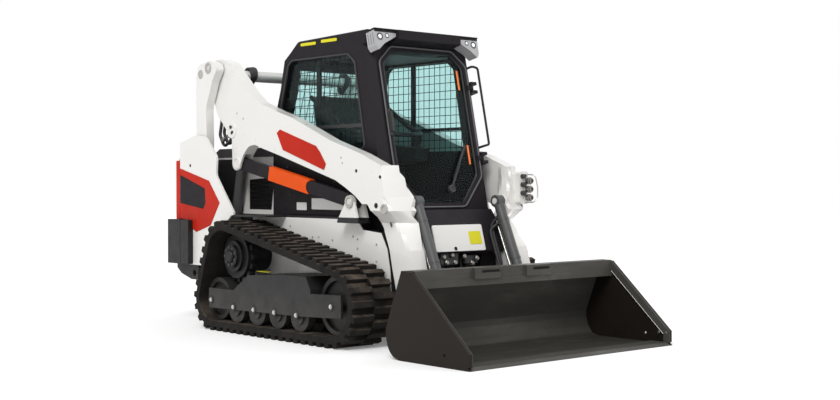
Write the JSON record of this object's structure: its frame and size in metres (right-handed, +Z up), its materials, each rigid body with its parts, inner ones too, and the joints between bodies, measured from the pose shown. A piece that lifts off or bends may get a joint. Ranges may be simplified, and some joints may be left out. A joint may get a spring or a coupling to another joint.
{
  "type": "compact track loader",
  "caption": "Compact track loader with vertical-lift arms, a dirt bucket on a quick coupler, an enclosed cab with a front door, a tailgate and rubber tracks.",
  "frame": {"origin": "on the ground, at mid width and mid length, with the bucket down", "axes": "-Y forward to the bucket, +X the machine's left, +Z up"},
  "size_m": [1.727, 3.44, 1.994],
  "materials": {
    "white_paint": "gloss",
    "charcoal_paint": "satin",
    "red_paint": "gloss",
    "grey_steel": "satin",
    "light_steel": "brushed",
    "orange_paint": "gloss",
    "black_paint": "matte",
    "track_rubber": "matte",
    "rod_chrome": "polished",
    "bucket_paint": "worn",
    "window_glass": "tinted",
    "lamp_lens": "clear",
    "red_lens": "gloss",
    "black_plastic": "matte",
    "seat_vinyl": "matte"
  },
  "bodies": {
    "machine": {"body_side_panels": "white_paint", "cab_frame": "charcoal_paint", "cab_roof": "charcoal_paint", "cab_side_panels": "charcoal_paint", "consoles": "black_plastic", "counterweights": "black_paint", "door_hinges": "charcoal_paint", "drive_sprockets": "black_paint", "engine_bay_side_left": "grey_steel", "engine_bay_side_right": "grey_steel", "engine_block": "grey_steel", "front_cover": "white_paint", "front_idlers": "black_paint", "grab_bar": "black_paint", "joysticks": "black_plastic", "main_frame": "charcoal_paint", "nose_frame": "charcoal_paint", "rear_frame": "charcoal_paint", "rear_glass": "window_glass", "rear_grille": "grey_steel", "rear_idlers": "black_paint", "rear_tie_downs": "black_paint", "seat_back": "seat_vinyl", "seat_base": "charcoal_paint", "seat_cushion": "seat_vinyl", "side_glass": "window_glass", "side_grilles": "black_paint", "tailgate_hinges": "grey_steel", "tower_insets": "charcoal_paint", "tower_left": "white_paint", "tower_panels": "red_paint", "tower_right": "white_paint", "track_frame_left": "black_paint", "track_frame_right": "black_paint", "track_left": "track_rubber", "track_right": "track_rubber", "track_rollers": "black_paint", "work_lamps": "lamp_lens"},
    "control_links": {"control_links": "charcoal_paint", "arm_support": "orange_paint"},
    "lift_arm": {"arm_left": "white_paint", "arm_right": "white_paint", "arm_panels": "red_paint", "rear_cross_tube": "light_steel", "front_cross_tube": "grey_steel", "hose_coupler_block": "white_paint"},
    "rear_links": {"rear_links": "white_paint"},
    "lift_cylinder_barrels": {"lift_cylinder_barrels": "grey_steel"},
    "lift_cylinder_rods": {"lift_cylinder_rods": "rod_chrome"},
    "tilt_cylinder_barrels": {"tilt_cylinder_barrels": "grey_steel"},
    "tilt_cylinder_rods": {"tilt_cylinder_rods": "rod_chrome"},
    "bucket": {"coupler": "grey_steel", "bucket": "bucket_paint", "cutting_edge": "bucket_paint"},
    "cab_door": {"door_frame": "charcoal_paint", "door_glass": "window_glass", "door_handle": "black_plastic"},
    "tailgate": {"tailgate": "grey_steel", "tail_lamps": "red_lens"}
  },
  "joints": [
    {"name": "control_link_pivot", "type": "hinge", "parent": "machine", "child": "control_links", "pos_m": [0, -0.31, 0.893], "axis": [1, 0, 0], "range_deg": [0, 29.91]},
    {"name": "lift", "type": "hinge", "parent": "control_links", "child": "lift_arm", "pos_m": [0, 0.989, 1.152], "axis": [-1, 0, 0], "range_deg": [0, 94.11]},
    {"name": "rear_link_pivot", "type": "hinge", "parent": "lift_arm", "child": "rear_links", "pos_m": [0, 1.24, 1.832], "axis": [1, 0, 0], "range_deg": [0, 55.03]},
    {"name": "lift_cylinder_pivot", "type": "hinge", "parent": "machine", "child": "lift_cylinder_barrels", "pos_m": [0, 1.255, 0.5], "axis": [1, 0, 0], "range_deg": [0, 0.97]},
    {"name": "lift_cylinder_stroke", "type": "slide", "parent": "lift_cylinder_barrels", "child": "lift_cylinder_rods", "axis": [0, -0.2298, 0.9732], "range_m": [0, 0.4469]},
    {"name": "tilt_cylinder_pivot", "type": "hinge", "parent": "lift_arm", "child": "tilt_cylinder_barrels", "pos_m": [0, -0.69, 0.893], "axis": [1, 0, 0], "range_deg": [-2.02, 0.53]},
    {"name": "tilt_cylinder_stroke", "type": "slide", "parent": "tilt_cylinder_barrels", "child": "tilt_cylinder_rods", "axis": [0, -0.4043, -0.9146], "range_m": [-0.0582, 0.2358]},
    {"name": "bucket_tilt", "type": "hinge", "parent": "lift_arm", "child": "bucket", "pos_m": [0, -0.87, 0.19], "axis": [1, 0, 0], "range_deg": [-25, 102]},
    {"name": "cab_door", "type": "hinge", "parent": "machine", "child": "cab_door", "pos_m": [0.399, -0.4401, 1.40279], "axis": [0, 0.2149, 0.9766], "range_deg": [0, 90]},
    {"name": "tailgate", "type": "hinge", "parent": "machine", "child": "tailgate", "pos_m": [0.668, 1.69, 0.985], "axis": [0, 0, -1], "range_deg": [0, 95]}
  ],
  "couplings": [
    {"joint": "control_link_pivot", "follows": "lift", "ratio": 0.31728},
    {"joint": "rear_link_pivot", "follows": "lift", "ratio": 0.58419},
    {"joint": "lift_cylinder_pivot", "follows": "lift", "ratio": 0.00979},
    {"joint": "lift_cylinder_stroke", "follows": "lift", "m_per_rad": 0.27175},
    {"joint": "tilt_cylinder_pivot", "follows": "bucket_tilt", "ratio": -0.01935},
    {"joint": "tilt_cylinder_stroke", "follows": "bucket_tilt", "m_per_rad": 0.13219}
  ]
}
